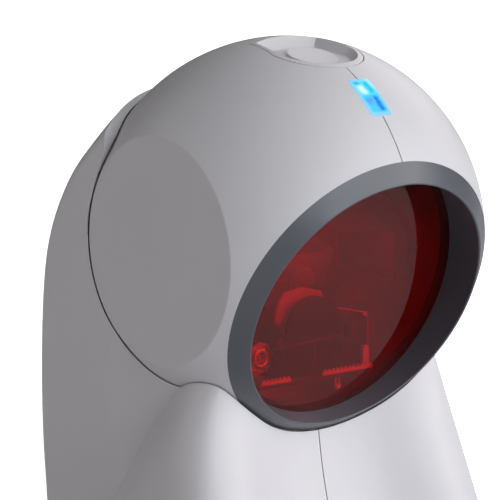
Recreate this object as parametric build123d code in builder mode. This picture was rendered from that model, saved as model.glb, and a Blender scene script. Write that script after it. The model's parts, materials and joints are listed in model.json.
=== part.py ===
"""Tilting presentation scanner: a ball head with a round window, held in a cup-shaped stand.

Millimetres, +Z up, front towards -Y. The origin is on the surface that the stand rests on, under its middle.
"""

import os
from math import cos, hypot, radians, sin, sqrt

from build123d import *

os.makedirs("parts", exist_ok=True)

# Head
BALL_R = 50.0
HEAD_Z = 100.0
SHELL_WALL = 2.5
FACET_X = 41.0
FACET_ROUND = 0.8
WINDOW_TILT = 24.0
CENTRE = (0, 0, HEAD_Z)

# Bezel: R is a radius from its axis, H a height along that axis from the middle of the ball
BEZEL_R = 39.45
BEZEL_STEP_H = 29.2
SKIRT_R = 38.3
SKIRT_H = 11.0
LIP_R = 34.85
LIP_H = 34.0
RECESS_R = 35.4
FIT_GAP = 0.05

# Window, which stands more upright than the bezel so that the recess is shallow below and deep above
GLASS_TILT = 14.5
GLASS_H = 23.0
SEAT_R = 36.9
WINDOW_T = 2.0
GASKET_T = 1.5
GASKET_R = 34.6
SKIRT_BACK = 4.1

# Mode button and indicator, both square to the ball
BUTTON_LEAN = 12.0
BUTTON_W = 12.9
BUTTON_REAR = (10.8, 12.6)
BUTTON_GAP = 0.3
BUTTON_T = 5.0
DISH_INSET = 3.4
DISH_SLOPE = 50.0
DISH_FALL = 5.0
DISH_ROUND = 0.9
PAD_R = 6.3
PAD_TOP = 47.3
INDICATOR_RISE = 50.1
LENS_W = 6.3
LENS_L = 12.1
LED_BOARD_H = 41.9
LED_BOARD_T = 1.0
LED_H = 1.4

# Stand
CUP_R = BALL_R + 0.35
STAND_WALL = 2.3
SOLE_Z = 0.8
SOLE = SOLE_Z - HEAD_Z
SEAM_W = 0.3
SEAM_DEPTH = 0.7
DIMPLE_DEPTH = 4.4
DIMPLE_R = 31.0
CORNER_REACH = 0.745
BACK_CORNER_R = 3.4
PLATE_BOTTOM = 1.2
PLATE_TOP = 4.0
FOOT_R = 6.0
FOOT_AT = [(34, -26), (-34, -26), (27, 31), (-27, 31)]
BASE_SCREW_AT = [(43.2, -10), (-43.2, -10), (36.5, 42), (-36.5, 42)]
INSERT_SPACING = 60.0
INSERT_Y = 6.0
INSERT_R = 1.65

# Tilt pivot, along X through the middle of the ball
ARM_IN = 25.0
ARM_OUT = 30.0
ARM_W = 12.0
EYE_R = 9.0
ELBOW = 37.0
PIN_R = 4.0
PIN_BORE_R = 2.4
PIN_END = 37.6
BUSH_R = 5.2
BUSH_END = 31.6
BOSS_R = 8.0
TILT_RANGE = 30.0
SLOT_IN = 20.2
SLOT_OUT = 30.8
SLOT_LEAD = 11.0

# Optics, laid out on the window's axis
BENCH_BACK = -6.0
BENCH_FRONT = -4.0
BENCH_HALF_W = 20.0
ROTOR_V = -8.0
SPINDLE_R = 1.5
POLYGON_W = 16.0
MIRROR_COUNT = 5
CRADLE_LOW = (17.2, 3.2)
CRADLE_HIGH = (28.5, 15.5)
BOARD_FRONT = -12.4
BOARD_T = 1.6
BENCH_POST_AT = [(25, 27.5), (-25, 27.5), (15.5, -31), (-15.5, -31)]
HEAD_SCREW_AT = [(38, 4), (14, -43)]
DECK_TOP = -34.4
DECK_T = 1.6
DECK_FRONT = -11.0
DECK_HALF_W = 21.5
DECK_CORNER = 3.0
TONGUE_HALF_W = 12.0
ARCH_X = -0.6
ARCH_HALF_W = 9.6
ARCH_SHOULDER = 11.0
ARCH_TOP = 20.2
LASER_AT = (-14.5, 0, DECK_TOP + 5.4)
LASER_R = 4.0
LASER_L = 13.0
DETECTOR_AT = (14.5, -6.4)
DETECTOR_W = 11.0
DETECTOR_H = 15.6

# Cable socket at the back of the foot
SOCKET_W = 17.0
SOCKET_H = 12.0
SOCKET_BOTTOM = 10.6
SOCKET_MID_Z = SOCKET_BOTTOM + SOCKET_H / 2
SOCKET_FACE_Y = 51.0
SOCKET_L = 14.5
CAVITY_W = 11.6
CAVITY_H = 8.2
CONTACT_COUNT = 10
CONTACT_PITCH = 1.02

# Harness
HARNESS_R = 1.4
HARNESS_X = -22.4
HARNESS_JOIN_X = -17.0

WINDOW_DIR = (0, -cos(radians(WINDOW_TILT)), -sin(radians(WINDOW_TILT)))
BUTTON_DIR = (0, -sin(radians(BUTTON_LEAN)), cos(radians(BUTTON_LEAN)))
INDICATOR_DIR = (0, -cos(radians(INDICATOR_RISE)), sin(radians(INDICATOR_RISE)))
OPTICS = Plane(origin=CENTRE, x_dir=(1, 0, 0), z_dir=WINDOW_DIR)
BUTTON = Plane(origin=CENTRE, x_dir=(1, 0, 0), z_dir=BUTTON_DIR)
INDICATOR = Plane(origin=CENTRE, x_dir=(1, 0, 0), z_dir=INDICATOR_DIR)
RADIAL = Plane(origin=CENTRE, x_dir=(1, 0, 0), z_dir=(0, -WINDOW_DIR[2], WINDOW_DIR[1]))
WINDOW_AXIS = Axis(CENTRE, WINDOW_DIR)
GLASS_DIR = (0, -cos(radians(GLASS_TILT)), -sin(radians(GLASS_TILT)))


def side_plane(x):
    """A plane square to X, with depth and height from the middle of the ball as its own two directions."""
    return Plane(origin=(x, 0, HEAD_Z), x_dir=(0, 1, 0), z_dir=(1, 0, 0))


def optics_point(x, v, h):
    """A point given across, up and along the window's axis."""
    return OPTICS.from_local_coords((x, v, h))


def optics_dir(x, v, h):
    """A direction given across, up and along the window's axis."""
    return optics_point(x, v, h) - Vector(*CENTRE)


GLASS = Plane(origin=optics_point(0, 0, GLASS_H), x_dir=(1, 0, 0), z_dir=GLASS_DIR)


def finish(part, name):
    """Label one finished piece and write it under its own name."""
    part.label = name
    export_step(part, f"parts/{name}.step")


def half(part, side):
    """The left (-1) or right (+1) half of a shell that parts at the middle."""
    with BuildPart() as piece:
        add(part)
        split(bisect_by=Plane.YZ, keep=Keep.TOP if side > 0 else Keep.BOTTOM)
    return piece.part


def inset_points(points, inset):
    """Move a row of outline points to the right of their direction of travel."""
    moved = []
    for i, (u, v) in enumerate(points):
        before = points[max(i - 1, 0)]
        after = points[min(i + 1, len(points) - 1)]
        along = hypot(after[0] - before[0], after[1] - before[1])
        du = inset * (after[1] - before[1]) / along
        dv = inset * (after[0] - before[0]) / along
        moved.append((u + du, v - dv))
    return moved


# ---------------------------------------------------------------- stand form

# Rear outline of the stand in side view, as depth and height from the middle of the ball, from the crown down:
# first at the flat sides, then in the middle.
REAR_SIDE = [
    (5, 32.5), (16, 29.2), (23.6, 25.6), (29.4, 21.2), (36, 15.0), (41, 8.4), (45, 1.6), (48.2, -6.2),
    (50.5, -17), (51.8, -31), (52.1, -46), (51.5, -60), (50.2, -74), (50.2, -87), (51.6, SOLE),
]
REAR_MIDDLE = [
    (5, 52.0), (16, 49.7), (25, 45.6), (34, 39.0), (42, 30.5), (47.4, 22.2), (50.8, 13.6), (52.6, 4),
    (53.2, -10), (53.3, -27), (53.2, -46), (52.6, -60), (51.6, -74), (51.6, -87), (53, SOLE),
]
# Front edge of the spine, hidden inside the flared body, from the sole up.
SPINE_FRONT = [(44, SOLE), (44, -94), (17.5, -66.9), (4.2, -50), (-0.5, -43.5), (-4.5, -33.5), (0, -20)]

# Plan outlines of the flared body: height from the middle of the ball, then half-width and depth of the seam,
# the panel, the ridge, the widest point, the flank and the rear corner.
FLARE = [
    (-27, (0, -11.8), (15, -13.4), (28.5, -16.8), (35.2, -12), (32, 2), (22, 24)),
    (-34, (0, -11.9), (15, -13.6), (29.5, -17.6), (38.6, -11), (36.4, -3), (26, 24)),
    (-42, (0, -12.1), (15, -14.0), (30.6, -18.4), (42.0, -9.5), (39.0, 1.5), (29, 26)),
    (-52, (0, -13.2), (16, -15.3), (32.6, -20.8), (44.9, -8.5), (40.6, 8.5), (32, 28)),
    (-62, (0, -15.2), (17, -17.6), (35.2, -24.0), (46.6, -9), (41, 16.2), (34, 31)),
    (-74, (0, -19.0), (18, -21.8), (38.2, -28.6), (48.0, -10), (41, 26), (35, 36)),
    (-86, (0, -27.0), (20, -30.0), (41.0, -35.0), (49.4, -12), (41.6, 36), (35, 43)),
    (-94, (0, -39.0), (22, -40.5), (42.6, -41.6), (50.4, -14), (42, 42), (35, 47.5)),
    (SOLE, (0, -52.2), (24, -51.6), (43.0, -46.5), (51.0, -16), (42, 44), (35, 49)),
]


def spine(inset):
    """The flat-sided upright of the stand, bowed across its back, with a shallow dimple under each side disc."""
    side_x = FACET_X - inset
    with BuildPart() as body:
        for x, rear in ((-side_x, REAR_SIDE), (0, REAR_MIDDLE), (side_x, REAR_SIDE)):
            curve = inset_points(rear, inset)
            curve[-1] = (curve[-1][0], SOLE)
            with BuildSketch(side_plane(x)):
                with BuildLine():
                    Spline(*curve)
                    Polyline(curve[-1], *SPINE_FRONT, curve[0])
                make_face()
        loft()
        on_side = body.edges().filter_by(lambda e: abs(abs(e.center().X) - side_x) < 0.01)
        fillet(on_side.sort_by(SortBy.LENGTH)[-2:], BACK_CORNER_R - inset)
        for side in (-1, 1):
            dimple_at = (0, -6, HEAD_Z - 38)
            floor = side_x - DIMPLE_DEPTH
            edge = side_x + 0.2
            outside = side_x + 9
            with BuildSketch(Plane(origin=dimple_at, x_dir=(side, 0, 0), z_dir=(0, 0, 1))):
                with BuildLine():
                    Spline((floor, 0), (floor + 0.5 * DIMPLE_DEPTH, 0.5 * DIMPLE_R), (edge, DIMPLE_R),
                           tangents=[(0, 1), (0.06, 1)])
                    Polyline((edge, DIMPLE_R), (outside, DIMPLE_R), (outside, 0), (floor, 0))
                make_face()
            revolve(axis=Axis(dimple_at, (1, 0, 0)), mode=Mode.SUBTRACT)
    return body.part


def flare(inset):
    """The flared front body, hollowed in plan between two rounded ridges."""
    with BuildPart() as body:
        for height, *points in FLARE:
            ridge, widest = points[2], points[3]
            corner = (
                ridge[0] + CORNER_REACH * (widest[0] - ridge[0]),
                widest[1] + CORNER_REACH * (ridge[1] - widest[1]),
            )
            right = [*points[:3], corner, *points[3:]]
            left = [(-x, y) for x, y in reversed(right[1:])]
            outline = inset_points(left + right, -inset)
            with BuildSketch(Plane.XY.offset(HEAD_Z + height)):
                with BuildLine():
                    Spline(*outline)
                    Line(outline[-1], outline[0])
                make_face()
        loft()
    return body.part


def stand_form(inset):
    """The whole outer form of the stand, drawn in by the inset."""
    with BuildPart() as form:
        add(spine(inset))
        add(flare(inset))
    return form.part


def mouth():
    """Everything in front of and above the edge of the cup."""
    with BuildPart() as space:
        with BuildSketch(side_plane(0)):
            with BuildLine():
                Polyline((29.66, 0), (-60, 0), (-60, 60), (60, 60), (60, 36), (40, 35.4))
                Spline((40, 35.4), (32.5, 33.4), (26.5, 30.0), (22.2, 26.2), (22.3, 22.2), (25.2, 16.5), (27.7, 9.8),
                       (29.66, 0), tangents=[(-1, -0.05), (0, -1)])
            make_face()
        extrude(amount=60, both=True)
    return space.part


def stand_shell():
    """Both stand shells in one, before they are parted at the middle."""
    outer = stand_form(0)
    with BuildPart() as hollow:
        add(stand_form(STAND_WALL))
        with Locations(CENTRE):
            Sphere(CUP_R + STAND_WALL, mode=Mode.SUBTRACT)
    with BuildPart() as groove:
        with Locations(CENTRE):
            Box(SEAM_W, 4 * BALL_R, 4 * BALL_R)
        add(stand_form(SEAM_DEPTH), mode=Mode.SUBTRACT)
    with BuildPart() as bosses:
        for x, y in BASE_SCREW_AT:
            with Locations((x, y, PLATE_TOP)):
                Cylinder(4.4, 12, align=(Align.CENTER, Align.CENTER, Align.MIN))
        with Locations((0, 47.2, 44), (0, -10.5, 36)):
            Cylinder(3.6, 24, rotation=(0, 90, 0))
        add(outer, mode=Mode.INTERSECT)
    with BuildPart() as shell:
        add(outer)
        with Locations(CENTRE):
            Sphere(CUP_R, mode=Mode.SUBTRACT)
        add(mouth(), mode=Mode.SUBTRACT)
        add(hollow.part, mode=Mode.SUBTRACT)
        add(bosses.part)
        add(groove.part, mode=Mode.SUBTRACT)
        for x, y in BASE_SCREW_AT:
            with Locations((x, y, PLATE_TOP + 5)):
                Cylinder(1.3, 10.2, mode=Mode.SUBTRACT)
        for side in (-1, 1):
            with BuildSketch(side_plane(side * (SLOT_IN + SLOT_OUT) / 2)):
                with Locations(Location((37, -37), -45)):
                    Rectangle(26, ARM_W + 4)
            extrude(amount=(SLOT_OUT - SLOT_IN) / 2, both=True, mode=Mode.SUBTRACT)
        with Locations((0, 50, SOCKET_MID_Z)):
            Box(SOCKET_W + 0.4, 12, SOCKET_H + 0.4, mode=Mode.SUBTRACT)
    return shell.part


# ---------------------------------------------------------------- base and cable socket

def make_base():
    """Base plate, feet, ballast, inserts and the screws that hold the plate."""
    with BuildPart() as base_plate:
        with Locations((0, 0, PLATE_BOTTOM)):
            Box(110, 110, PLATE_TOP - PLATE_BOTTOM, align=(Align.CENTER, Align.CENTER, Align.MIN))
        add(stand_form(STAND_WALL + 0.4), mode=Mode.INTERSECT)
        for side in (-1, 1):
            with Locations((side * INSERT_SPACING / 2, INSERT_Y, PLATE_TOP)):
                Cylinder(5, 7, align=(Align.CENTER, Align.CENTER, Align.MIN))
            with Locations((side * INSERT_SPACING / 2, INSERT_Y, 6)):
                Cylinder(3.0, 12, mode=Mode.SUBTRACT)
        with Locations((-11, 46, PLATE_TOP), (11, 46, PLATE_TOP), (-11, 27.5, PLATE_TOP), (11, 27.5, PLATE_TOP)):
            Cylinder(2.2, 5, align=(Align.CENTER, Align.CENTER, Align.MIN))
        for x, y in BASE_SCREW_AT:
            with Locations((x, y, 0)):
                Cylinder(1.5, 20, mode=Mode.SUBTRACT)
                Cylinder(3.1, 2 * (PLATE_BOTTOM + 1.7), mode=Mode.SUBTRACT)
        for x in (-20, 0, 20):
            with Locations((x, ELBOW, 3)):
                Cylinder(1.3, 6, mode=Mode.SUBTRACT)
    finish(base_plate.part, "base_plate")

    with BuildPart() as rubber_feet:
        for x, y in FOOT_AT:
            with Locations((x, y, 0)):
                Cylinder(FOOT_R, PLATE_BOTTOM, align=(Align.CENTER, Align.CENTER, Align.MIN))
        chamfer(rubber_feet.faces().sort_by(Axis.Z)[:4].edges(), 0.3)
    finish(rubber_feet.part, "rubber_feet")

    with BuildPart() as base_screws:
        for x, y in BASE_SCREW_AT:
            with Locations((x, y, PLATE_BOTTOM + 0.05)):
                Cylinder(2.9, 1.6, align=(Align.CENTER, Align.CENTER, Align.MIN))
                Cylinder(1.25, 12, align=(Align.CENTER, Align.CENTER, Align.MIN))
                Box(3.4, 0.7, 1.2, mode=Mode.SUBTRACT)
    finish(base_screws.part, "base_screws")

    with BuildPart() as threaded_inserts:
        for side in (-1, 1):
            with Locations((side * INSERT_SPACING / 2, INSERT_Y, PLATE_BOTTOM + 0.2)):
                Cylinder(2.97, 8.8, align=(Align.CENTER, Align.CENTER, Align.MIN))
                Cylinder(INSERT_R, 20, mode=Mode.SUBTRACT)
    finish(threaded_inserts.part, "threaded_inserts")

    with BuildPart() as ballast_weight:
        with BuildSketch(Plane.XY.offset(PLATE_TOP)):
            RectangleRounded(46, 42, 4)
        extrude(amount=7)
        chamfer(ballast_weight.faces().sort_by(Axis.Z)[-1].edges(), 0.6)
    finish(ballast_weight.part, "ballast_weight")


def make_cable_socket():
    """Modular socket at the back of the foot, its contacts and the board that carries it."""
    with BuildPart() as cable_socket:
        with Locations((0, SOCKET_FACE_Y - SOCKET_L / 2, SOCKET_MID_Z)):
            Box(SOCKET_W, SOCKET_L, SOCKET_H)
        with Locations((0, SOCKET_FACE_Y, SOCKET_MID_Z)):
            Box(CAVITY_W, 2 * 12, CAVITY_H, mode=Mode.SUBTRACT)
        with Locations((0, SOCKET_FACE_Y, SOCKET_MID_Z + CAVITY_H / 2)):
            Box(5.4, 2 * 9, 2.2, mode=Mode.SUBTRACT)
    finish(cable_socket.part, "cable_socket")

    with BuildPart() as socket_contacts:
        for i in range(CONTACT_COUNT):
            x = (i - (CONTACT_COUNT - 1) / 2) * CONTACT_PITCH
            with Locations((x, SOCKET_FACE_Y - 7, SOCKET_MID_Z - CAVITY_H / 2 + 0.2)):
                Box(0.5, 9, 0.4)
    finish(socket_contacts.part, "socket_contacts")

    with BuildPart() as socket_board:
        with BuildSketch(Plane.XY.offset(SOCKET_BOTTOM - BOARD_T)):
            with Locations((0, 36.2)):
                Rectangle(28, 24)
        extrude(amount=BOARD_T)
    finish(socket_board.part, "socket_board")


# ---------------------------------------------------------------- tilt pivot

def make_yoke():
    """Two cranked arms on one flange, which carry the head from inside."""
    with BuildPart() as tilt_yoke:
        for side in (-1, 1):
            middle = side * (ARM_IN + ARM_OUT) / 2
            with BuildSketch(side_plane(middle)):
                Circle(EYE_R)
                with Locations(Location((ELBOW / 2, -ELBOW / 2), -45)):
                    Rectangle(ELBOW * sqrt(2), ARM_W)
                with Locations((ELBOW, -ELBOW)):
                    Circle(ARM_W / 2)
                with Locations((ELBOW, (PLATE_TOP - HEAD_Z - ELBOW) / 2)):
                    Rectangle(ARM_W, HEAD_Z - ELBOW - PLATE_TOP)
                Circle(PIN_R + 0.02, mode=Mode.SUBTRACT)
            extrude(amount=(ARM_OUT - ARM_IN) / 2, both=True)
        with Locations((0, ELBOW, PLATE_TOP + 1.5)):
            Box(2 * ARM_OUT, ARM_W, 3)
        for x in (-20, 0, 20):
            with Locations((x, ELBOW, PLATE_TOP)):
                Cylinder(1.6, 10, mode=Mode.SUBTRACT)
    finish(tilt_yoke.part, "tilt_yoke")

    with BuildPart() as yoke_screws:
        for x in (-20, 0, 20):
            with Locations((x, ELBOW, PLATE_TOP + 3)):
                Cylinder(2.6, 1.8, align=(Align.CENTER, Align.CENTER, Align.MIN))
            with Locations((x, ELBOW, PLATE_BOTTOM + 0.3)):
                Cylinder(1.25, PLATE_TOP + 3, align=(Align.CENTER, Align.CENTER, Align.MIN))
    finish(yoke_screws.part, "yoke_screws")

    for side, name in ((-1, "left"), (1, "right")):
        with BuildPart() as pivot_pin:
            with BuildSketch(side_plane(side * (ARM_IN - 0.6))):
                Circle(5.6)
                Circle(PIN_BORE_R, mode=Mode.SUBTRACT)
            extrude(amount=0.6 * side)
            with BuildSketch(side_plane(side * ARM_IN)):
                Circle(PIN_R)
                Circle(PIN_BORE_R, mode=Mode.SUBTRACT)
            extrude(amount=(PIN_END - ARM_IN) * side)
        finish(pivot_pin.part, f"pivot_pin_{name}")

        with BuildPart() as friction_washer:
            with BuildSketch(side_plane(side * (ARM_OUT + 0.05))):
                Circle(BOSS_R - 0.4)
                Circle(PIN_R + 0.05, mode=Mode.SUBTRACT)
            extrude(amount=(BUSH_END - ARM_OUT - 0.1) * side)
        finish(friction_washer.part, f"friction_washer_{name}")

        with BuildPart() as pivot_bush:
            with BuildSketch(side_plane(side * BUSH_END)):
                Circle(BUSH_R - 0.02)
                Circle(PIN_R + FIT_GAP, mode=Mode.SUBTRACT)
            extrude(amount=(PIN_END - BUSH_END) * side)
        finish(pivot_bush.part, f"pivot_bush_{name}")


# ---------------------------------------------------------------- head shells

def shield(grow):
    """Outline of the mode button: round in front, narrowing to two corners at the back."""
    rear_x, rear_y = BUTTON_REAR
    with BuildSketch(Plane.XY) as outline:
        with BuildLine():
            ThreePointArc((BUTTON_W, 0), (0, -BUTTON_W), (-BUTTON_W, 0))
            Line((-BUTTON_W, 0), (-rear_x, rear_y))
            ThreePointArc((-rear_x, rear_y), (0, rear_y + 0.8), (rear_x, rear_y))
            Line((rear_x, rear_y), (BUTTON_W, 0))
        make_face()
        fillet(outline.vertices().group_by(Axis.Y)[-1], 1.4)
        if grow:
            offset(amount=grow)
    return outline.sketch


def ball(radius):
    """A ball on the middle of the head."""
    with BuildPart() as solid:
        with Locations(CENTRE):
            Sphere(radius)
    return solid.part


def head_shell():
    """Both head shells in one, before they are parted at the middle."""
    inner_r = BALL_R - SHELL_WALL
    inner_x = FACET_X - SHELL_WALL
    with BuildPart() as hollow:
        with Locations(CENTRE):
            Sphere(inner_r)
            Box(2 * inner_x, 4 * BALL_R, 4 * BALL_R, mode=Mode.INTERSECT)
    with BuildPart() as posts:
        for x, v in BENCH_POST_AT:
            with BuildSketch(OPTICS.offset(BENCH_BACK)):
                with Locations((x, v)):
                    Circle(3.2)
            extrude(amount=-BALL_R)
        with BuildSketch(BUTTON.offset(39.5)):
            with Locations((14.8, 0), (-14.8, 0)):
                Circle(1.8)
        extrude(amount=9)
        with BuildSketch(INDICATOR.offset(LED_BOARD_H + LED_BOARD_T)):
            with Locations((8.2, 0), (-8.2, 0)):
                Circle(1.6)
        extrude(amount=6)
        for y, z in HEAD_SCREW_AT:
            with BuildSketch(side_plane(0)):
                with Locations((y, z)):
                    Circle(4.2)
            extrude(amount=14, both=True)
            with BuildSketch(side_plane(0)):
                with Locations(Location((y * 1.08, z * 1.08))):
                    Circle(4.2)
            extrude(amount=14, both=True)
        with Locations(CENTRE):
            Sphere(inner_r + 0.5, mode=Mode.INTERSECT)
    with BuildPart() as shell:
        with Locations(CENTRE):
            Sphere(BALL_R)
            Box(2 * FACET_X, 4 * BALL_R, 4 * BALL_R, mode=Mode.INTERSECT)
        rims = shell.edges().filter_by(GeomType.CIRCLE).filter_by(lambda e: abs(e.center().X) > FACET_X - 0.01)
        fillet(rims, FACET_ROUND)
        add(hollow.part, mode=Mode.SUBTRACT)
        add(posts.part)
        with BuildSketch(OPTICS):
            Circle(SKIRT_R + FIT_GAP)
        extrude(amount=BALL_R, mode=Mode.SUBTRACT)
        with BuildSketch(OPTICS.offset(BEZEL_STEP_H)):
            Circle(BEZEL_R + FIT_GAP)
        extrude(amount=BALL_R, mode=Mode.SUBTRACT)
        with BuildSketch(BUTTON.offset(44)):
            add(shield(0))
        extrude(amount=10, mode=Mode.SUBTRACT)
        with BuildSketch(INDICATOR.offset(43.6)):
            RectangleRounded(LENS_W + 0.2, LENS_L + 0.2, 0.9)
        extrude(amount=10, mode=Mode.SUBTRACT)
        for side in (-1, 1):
            with BuildSketch(side_plane(side * BUSH_END)):
                Circle(BOSS_R)
                Circle(BUSH_R, mode=Mode.SUBTRACT)
            extrude(amount=(inner_x - BUSH_END + 0.2) * side)
            with BuildSketch(side_plane(side * (SLOT_IN + SLOT_OUT) / 2)):
                with BuildLine():
                    start = 45 + SLOT_LEAD
                    end = 45 - TILT_RANGE - SLOT_LEAD
                    mid = (start + end) / 2
                    rays = [(cos(radians(a)), -sin(radians(a))) for a in (start, mid, end)]
                    far = [(u * 52, v * 52) for u, v in rays]
                    near = [(u * 36, v * 36) for u, v in rays]
                    ThreePointArc(*far)
                    Line(far[2], near[2])
                    ThreePointArc(*reversed(near))
                    Line(near[0], far[0])
                make_face()
            extrude(amount=(SLOT_OUT - SLOT_IN) / 2, both=True, mode=Mode.SUBTRACT)
        for y, z in HEAD_SCREW_AT:
            with BuildSketch(side_plane(-BALL_R)):
                with Locations((y, z)):
                    Circle(3.2)
            extrude(amount=BALL_R - 12, mode=Mode.SUBTRACT)
            with BuildSketch(side_plane(-BALL_R)):
                with Locations((y, z)):
                    Circle(1.3)
            extrude(amount=BALL_R + 12, mode=Mode.SUBTRACT)
        for x, v in BENCH_POST_AT:
            with BuildSketch(OPTICS.offset(BENCH_BACK)):
                with Locations((x, v)):
                    Circle(1.2)
            extrude(amount=-12, mode=Mode.SUBTRACT)
        with BuildPart(mode=Mode.PRIVATE) as groove:
            with Locations(CENTRE):
                Box(SEAM_W, 4 * BALL_R, 4 * BALL_R)
                Sphere(BALL_R - SEAM_DEPTH, mode=Mode.SUBTRACT)
        add(groove.part, mode=Mode.SUBTRACT)
    return shell.part


def make_head_screws():
    """Two long screws that hold the head shells together, and four that hold the bench."""
    with BuildPart() as head_screws:
        for y, z in HEAD_SCREW_AT:
            with BuildSketch(side_plane(-12)):
                with Locations((y, z)):
                    Circle(2.8)
            extrude(amount=-2.2)
            with BuildSketch(side_plane(-12)):
                with Locations((y, z)):
                    Circle(1.25)
            extrude(amount=22)
    finish(head_screws.part, "head_screws")

    with BuildPart() as bench_screws:
        for x, v in BENCH_POST_AT:
            with BuildSketch(OPTICS.offset(BENCH_FRONT)):
                with Locations((x, v)):
                    Circle(2.5)
            extrude(amount=1.8)
            with BuildSketch(OPTICS.offset(BENCH_FRONT)):
                with Locations((x, v)):
                    Circle(1.15)
            extrude(amount=-12)
    finish(bench_screws.part, "bench_screws")


# ---------------------------------------------------------------- window, button and indicator

def make_window():
    """Bezel ring with its deep recess, the window that seats in it and the gasket behind."""
    with BuildPart() as window_bezel:
        with BuildSketch(RADIAL):
            with BuildLine():
                Polyline((BEZEL_R, BEZEL_STEP_H), (BEZEL_R, 30.6), (LIP_R + 0.6, LIP_H + 0.15))
                ThreePointArc((LIP_R + 0.6, LIP_H + 0.15), (LIP_R + 0.2, LIP_H + 0.28), (LIP_R, LIP_H - 0.05))
                Polyline((LIP_R, LIP_H - 0.05), (RECESS_R, GLASS_H), (RECESS_R, SKIRT_H), (SKIRT_R, SKIRT_H),
                         (SKIRT_R, BEZEL_STEP_H), (BEZEL_R, BEZEL_STEP_H))
            make_face()
        revolve(axis=WINDOW_AXIS)
        with BuildSketch(GLASS):
            Circle(SEAT_R)
        extrude(amount=-BALL_R, mode=Mode.SUBTRACT)
        with BuildSketch(GLASS.offset(-SKIRT_BACK)):
            Circle(BALL_R)
        extrude(amount=-BALL_R, mode=Mode.SUBTRACT)
    finish(window_bezel.part, "window_bezel")

    with BuildPart() as scan_window:
        with BuildSketch(GLASS):
            Circle(SEAT_R - FIT_GAP)
        extrude(amount=-WINDOW_T)
        chamfer(scan_window.edges(), 0.25)
    finish(scan_window.part, "scan_window")

    with BuildPart() as window_gasket:
        with BuildSketch(GLASS.offset(-WINDOW_T)):
            Circle(SEAT_R - FIT_GAP)
            Circle(GASKET_R, mode=Mode.SUBTRACT)
        extrude(amount=-GASKET_T)
    finish(window_gasket.part, "window_gasket")


def make_button():
    """Scooped shield-shaped button with a round pad, and the switch and board under it.

    The floor of the scoop falls away to the rear, so the pad is flush at its front and stands proud behind.
    """
    fall = radians(DISH_FALL)
    floor = Plane(
        origin=BUTTON.from_local_coords((0, -PAD_R, PAD_TOP)),
        x_dir=(1, 0, 0),
        z_dir=BUTTON.from_local_coords((0, sin(fall), cos(fall))) - Vector(*CENTRE),
    )
    with BuildPart() as dish:
        with BuildSketch(floor):
            with Locations((0, PAD_R - 0.8)):
                add(shield(-BUTTON_GAP - DISH_INSET))
        extrude(amount=5, taper=-DISH_SLOPE)
        fillet(dish.faces().sort_by(Axis(CENTRE, BUTTON_DIR))[0].edges(), DISH_ROUND)
        with BuildSketch(BUTTON.offset(40)):
            Circle(PAD_R)
        extrude(amount=PAD_TOP - 40, mode=Mode.SUBTRACT)
    with BuildPart() as mode_button:
        with BuildSketch(BUTTON.offset(40)):
            add(shield(-BUTTON_GAP))
        extrude(amount=14)
        add(ball(BALL_R), mode=Mode.INTERSECT)
        add(ball(BALL_R - BUTTON_T), mode=Mode.SUBTRACT)
        add(dish.part, mode=Mode.SUBTRACT)
        with BuildSketch(BUTTON.offset(44.4)):
            Circle(1.8)
        extrude(amount=2)
    finish(mode_button.part, "mode_button")

    with BuildPart() as button_board:
        with BuildSketch(BUTTON.offset(38.3)):
            RectangleRounded(34, 12, 1)
        extrude(amount=1.2)
    finish(button_board.part, "button_board")

    with BuildPart() as button_switch:
        with BuildSketch(BUTTON.offset(39.5)):
            Rectangle(6, 6)
        extrude(amount=3.3)
        with BuildSketch(BUTTON.offset(42.8)):
            Circle(1.7)
        extrude(amount=0.6)
    finish(button_switch.part, "button_switch")


def make_indicator():
    """Two-cell indicator lens on the seam, its board and its two lamps."""
    with BuildPart() as indicator_lens:
        with BuildSketch(INDICATOR.offset(46.4)):
            RectangleRounded(LENS_W, LENS_L, 0.8)
        extrude(amount=6)
        with BuildSketch(INDICATOR.offset(44.9)):
            RectangleRounded(LENS_W + 3, LENS_L + 3, 1)
        extrude(amount=1.5)
        add(ball(BALL_R + 0.15), mode=Mode.INTERSECT)
        with BuildSketch(INDICATOR.offset(49.5)):
            Rectangle(LENS_W + 1, 0.35)
        extrude(amount=2, mode=Mode.SUBTRACT)
    finish(indicator_lens.part, "indicator_lens")

    with BuildPart() as indicator_board:
        with BuildSketch(INDICATOR.offset(LED_BOARD_H)):
            RectangleRounded(21, 12, 1)
        extrude(amount=LED_BOARD_T)
    finish(indicator_board.part, "indicator_board")

    with BuildPart() as indicator_leds:
        with BuildSketch(INDICATOR.offset(LED_BOARD_H + LED_BOARD_T)):
            with Locations((0, 3.1), (0, -3.1)):
                Rectangle(3, 3)
        extrude(amount=LED_H)
    finish(indicator_leds.part, "indicator_leds")


# ---------------------------------------------------------------- optics

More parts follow.
